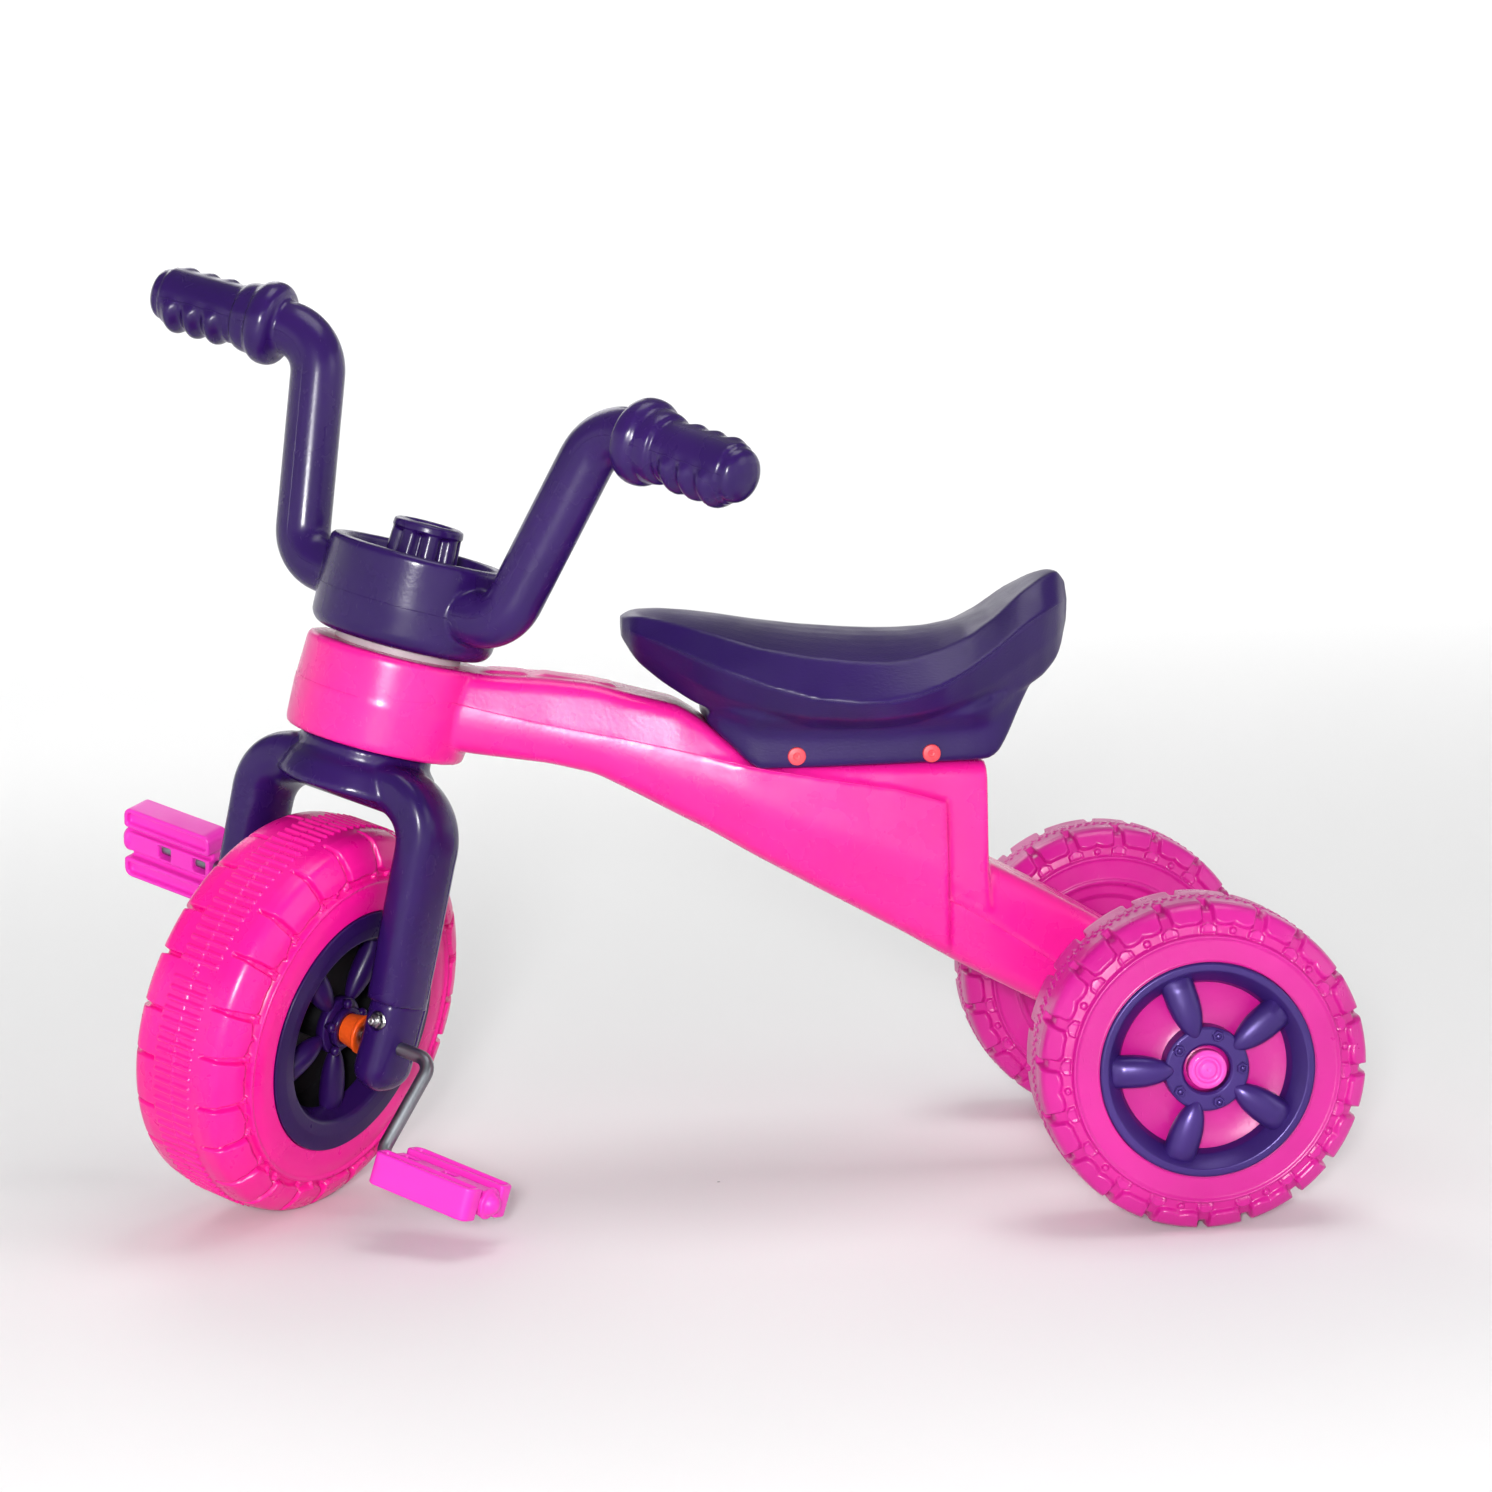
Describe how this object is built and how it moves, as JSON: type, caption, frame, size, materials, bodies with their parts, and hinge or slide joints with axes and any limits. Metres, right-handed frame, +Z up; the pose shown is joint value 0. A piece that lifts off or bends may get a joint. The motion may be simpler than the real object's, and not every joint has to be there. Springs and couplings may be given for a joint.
{
  "type": "tricycle",
  "caption": "Child's pedal tricycle: moulded frame with saddle, raked steering fork with handlebar, pedals on the front wheel's crank, free-rolling rear wheels on one axle.",
  "frame": {"origin": "on the floor, under the middle of the whole tricycle's box", "axes": "+Z up, the front faces -Y, +X is the rider's left; the steering is stored turned 56.1 degrees to the rider's left and the crank 28.8 degrees off upright, as pictured"},
  "size_m": [0.3268, 0.6846, 0.5375],
  "materials": {
    "frame_pink": "glossy blow-moulded plastic, hot pink",
    "seat_purple": "fine leather-like grain, deep purple, satin",
    "plug_coral": "glossy coral red",
    "steel": "zinc-plated, dull",
    "hub_dark": "black, matte",
    "cap_pink": "glossy, lighter pink",
    "bush_orange": "orange, glossy",
    "bush_pale": "pale, semi-gloss",
    "fork_purple": "glossy blow-moulded plastic, deep purple",
    "bar_purple": "glossy blow-moulded plastic, deep purple",
    "front_tyre_pink": "semi-gloss hard plastic, hot pink",
    "crank_steel": "grey zinc plate, satin",
    "ring_purple": "semi-gloss, dark purple",
    "pedal_pink": "glossy, pink",
    "rear_tyre_pink": "semi-matt hard plastic, deeper pink",
    "cover_purple": "glossy, purple"
  },
  "bodies": {
    "frame": {"frame_body": "frame_pink", "seat": "seat_purple", "seat_plugs": "plug_coral", "rear_axle": "steel", "axle_washers": "steel", "axle_spacers": "hub_dark", "axle_cap_left": "cap_pink", "axle_cap_right": "cap_pink", "lower_head_bush": "bush_pale", "upper_head_bush": "bush_pale"},
    "steering": {"fork": "fork_purple", "fork_end_left": "fork_purple", "fork_end_right": "fork_purple", "fork_end_bolts": "steel", "fork_end_nuts": "steel", "stem_bolt": "steel", "handlebar": "bar_purple", "steering_knob": "bar_purple", "knob_washer": "steel"},
    "front_wheel": {"front_tyre": "front_tyre_pink", "front_hub_core": "hub_dark", "crank": "crank_steel", "front_ring_left": "ring_purple", "front_ring_right": "ring_purple", "front_bush_left": "bush_orange", "front_bush_right": "bush_orange"},
    "pedal_left": {"pedal_left": "pedal_pink"},
    "pedal_right": {"pedal_right": "pedal_pink"},
    "rear_wheel_left": {"rear_tyre_left": "rear_tyre_pink", "rear_bush_left": "bush_orange", "rear_cover_left": "cover_purple"},
    "rear_wheel_right": {"rear_tyre_right": "rear_tyre_pink", "rear_bush_right": "bush_orange", "rear_cover_right": "cover_purple"}
  },
  "joints": [
    {"name": "steering_turn", "type": "hinge", "parent": "frame", "child": "steering", "pos_m": [0, -0.2326, 0.11343], "axis": [0, 0.2892, 0.9573], "range_deg": [-146.1, 33.9]},
    {"name": "front_wheel_spin", "type": "hinge", "parent": "steering", "child": "front_wheel", "pos_m": [0.00216, -0.23399, 0.11385], "axis": [0.5577, 0.7945, -0.24], "continuous": true},
    {"name": "pedal_left_spin", "type": "hinge", "parent": "front_wheel", "child": "pedal_left", "pos_m": [0.02675, -0.26539, 0.06704], "axis": [0.5577, 0.7945, -0.24], "continuous": true},
    {"name": "pedal_right_spin", "type": "hinge", "parent": "front_wheel", "child": "pedal_right", "pos_m": [-0.02243, -0.20258, 0.16066], "axis": [0.5577, 0.7945, -0.24], "continuous": true},
    {"name": "rear_wheel_left_spin", "type": "hinge", "parent": "frame", "child": "rear_wheel_left", "pos_m": [0, 0.2523, 0.09], "axis": [1, 0, 0], "continuous": true},
    {"name": "rear_wheel_right_spin", "type": "hinge", "parent": "frame", "child": "rear_wheel_right", "pos_m": [0, 0.2523, 0.09], "axis": [1, 0, 0], "continuous": true}
  ]
}
